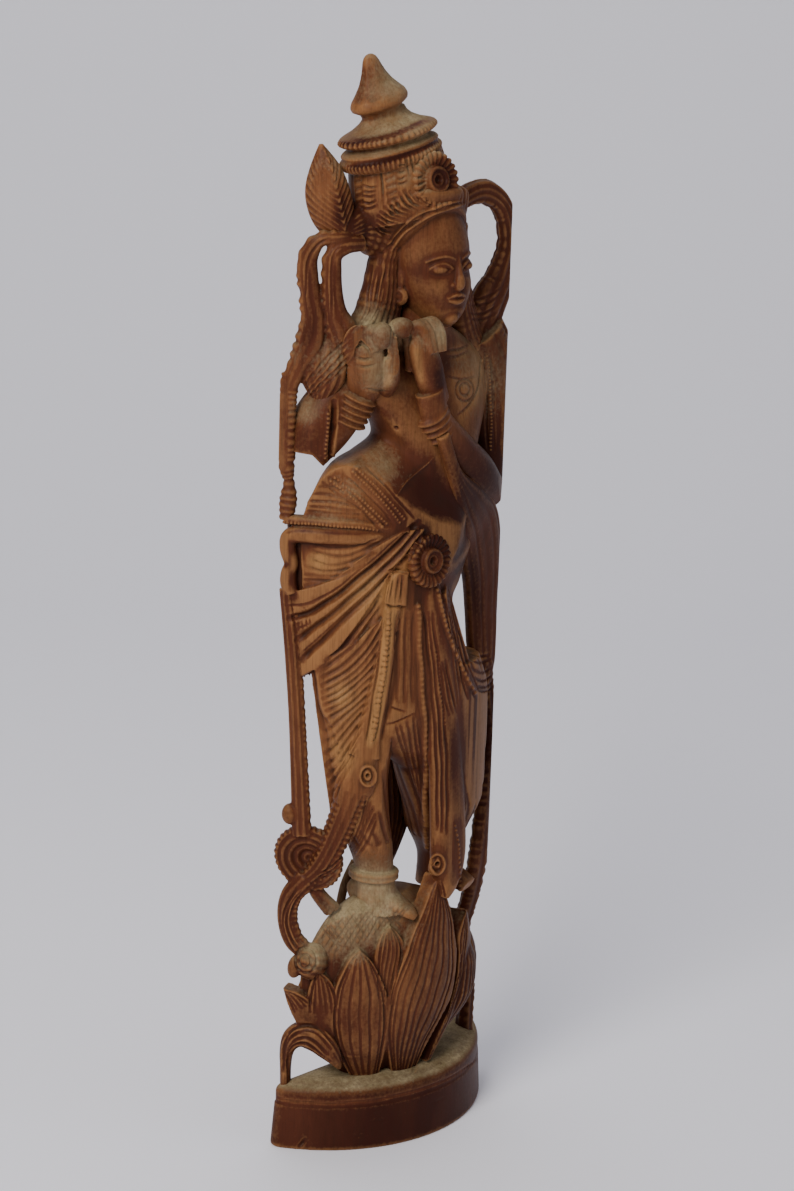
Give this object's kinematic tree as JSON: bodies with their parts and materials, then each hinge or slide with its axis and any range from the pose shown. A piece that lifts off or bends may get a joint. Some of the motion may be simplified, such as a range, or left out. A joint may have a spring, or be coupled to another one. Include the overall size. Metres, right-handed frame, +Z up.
{
  "type": "carved wooden krishna figure",
  "caption": "Standing flute player carved in wood on a lotus and half-round plinth, in tribhanga stance, hands raised empty, with pierced ribbons and a tall crown.",
  "frame": {"origin": "middle of the underside of the plinth, which stands on the surface", "axes": "+Z up along the figure; the front of the figure faces -Y and the flat back edge of the plinth is at +Y; +X is the figure's own left"},
  "size_m": [0.1217, 0.042, 0.457],
  "materials": {
    "carved_wood": "reddish-brown close-grained wood, satin from handling on the raised carving, with pale tan dust in the hollows and on upward faces"
  },
  "bodies": {
    "root": {"krishna_figure": "carved_wood"}
  },
  "joints": []
}
